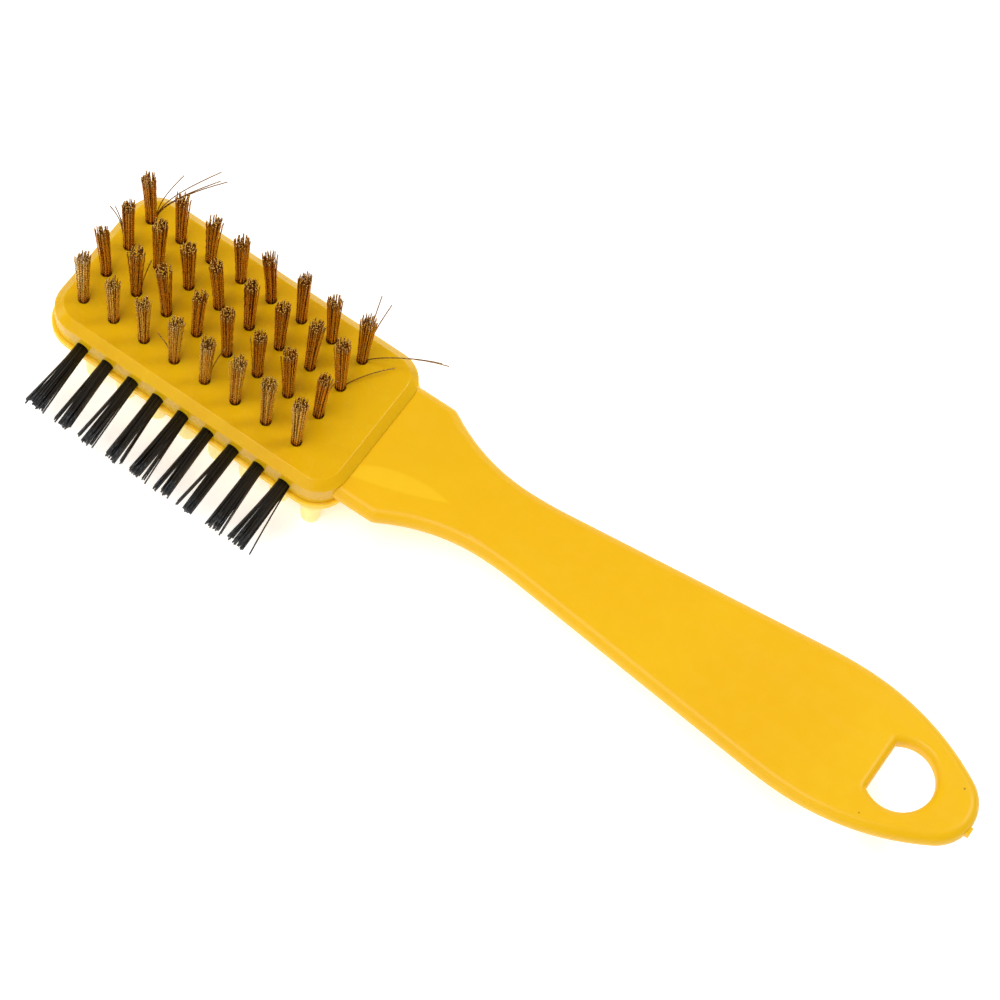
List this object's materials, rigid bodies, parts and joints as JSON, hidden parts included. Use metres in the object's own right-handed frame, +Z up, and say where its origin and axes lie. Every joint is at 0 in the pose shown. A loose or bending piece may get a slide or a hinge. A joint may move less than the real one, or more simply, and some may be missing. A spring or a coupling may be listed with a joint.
{
  "type": "groove cleaning brush",
  "caption": "Hand brush for club grooves: rounded rectangular head with brass wire tufts on top, nylon tufts on one side and soft nubs below, on a waisted flat handle with a D-shaped hang hole.",
  "frame": {"origin": "on the centre line of the head and handle, at the flat end of the nub under the middle of the head, in the plane that the brush rests on", "axes": "+X along the handle away from the head, +Y across the head away from the nylon tufts, +Z up through the brass tufts"},
  "size_m": [0.1898, 0.0479, 0.0326],
  "materials": {
    "handle": "moulded gloss, golden yellow, opaque",
    "block": "moulded gloss, lemon yellow, slightly see-through",
    "nubs": "soft satin, pale yellow, see-through",
    "brass_wire": "fine crimped wire",
    "nylon": "black filament, slight gloss",
    "anchors": "plain flat wire"
  },
  "bodies": {
    "root": {"handle": "handle", "bristle_block": "block", "nub_pad": "nubs", "brass_anchors": "anchors", "nylon_anchors": "anchors", "brass_tuft_r1_c1": "brass_wire", "brass_tuft_r1_c2": "brass_wire", "brass_tuft_r1_c3": "brass_wire", "brass_tuft_r1_c4": "brass_wire", "brass_tuft_r1_c5": "brass_wire", "brass_tuft_r1_c6": "brass_wire", "brass_tuft_r1_c7": "brass_wire", "brass_tuft_r1_c8": "brass_wire", "brass_tuft_r2_c1": "brass_wire", "brass_tuft_r2_c2": "brass_wire", "brass_tuft_r2_c3": "brass_wire", "brass_tuft_r2_c4": "brass_wire", "brass_tuft_r2_c5": "brass_wire", "brass_tuft_r2_c6": "brass_wire", "brass_tuft_r2_c7": "brass_wire", "brass_tuft_r2_c8": "brass_wire", "brass_tuft_r3_c1": "brass_wire", "brass_tuft_r3_c2": "brass_wire", "brass_tuft_r3_c3": "brass_wire", "brass_tuft_r3_c4": "brass_wire", "brass_tuft_r3_c5": "brass_wire", "brass_tuft_r3_c6": "brass_wire", "brass_tuft_r3_c7": "brass_wire", "brass_tuft_r3_c8": "brass_wire", "brass_tuft_r4_c1": "brass_wire", "brass_tuft_r4_c2": "brass_wire", "brass_tuft_r4_c3": "brass_wire", "brass_tuft_r4_c4": "brass_wire", "brass_tuft_r4_c5": "brass_wire", "brass_tuft_r4_c6": "brass_wire", "brass_tuft_r4_c7": "brass_wire", "brass_tuft_r4_c8": "brass_wire", "nylon_tuft_1": "nylon", "nylon_tuft_2": "nylon", "nylon_tuft_3": "nylon", "nylon_tuft_4": "nylon", "nylon_tuft_5": "nylon", "nylon_tuft_6": "nylon", "nylon_tuft_7": "nylon", "nylon_tuft_8": "nylon", "nylon_tuft_9": "nylon"}
  },
  "joints": []
}
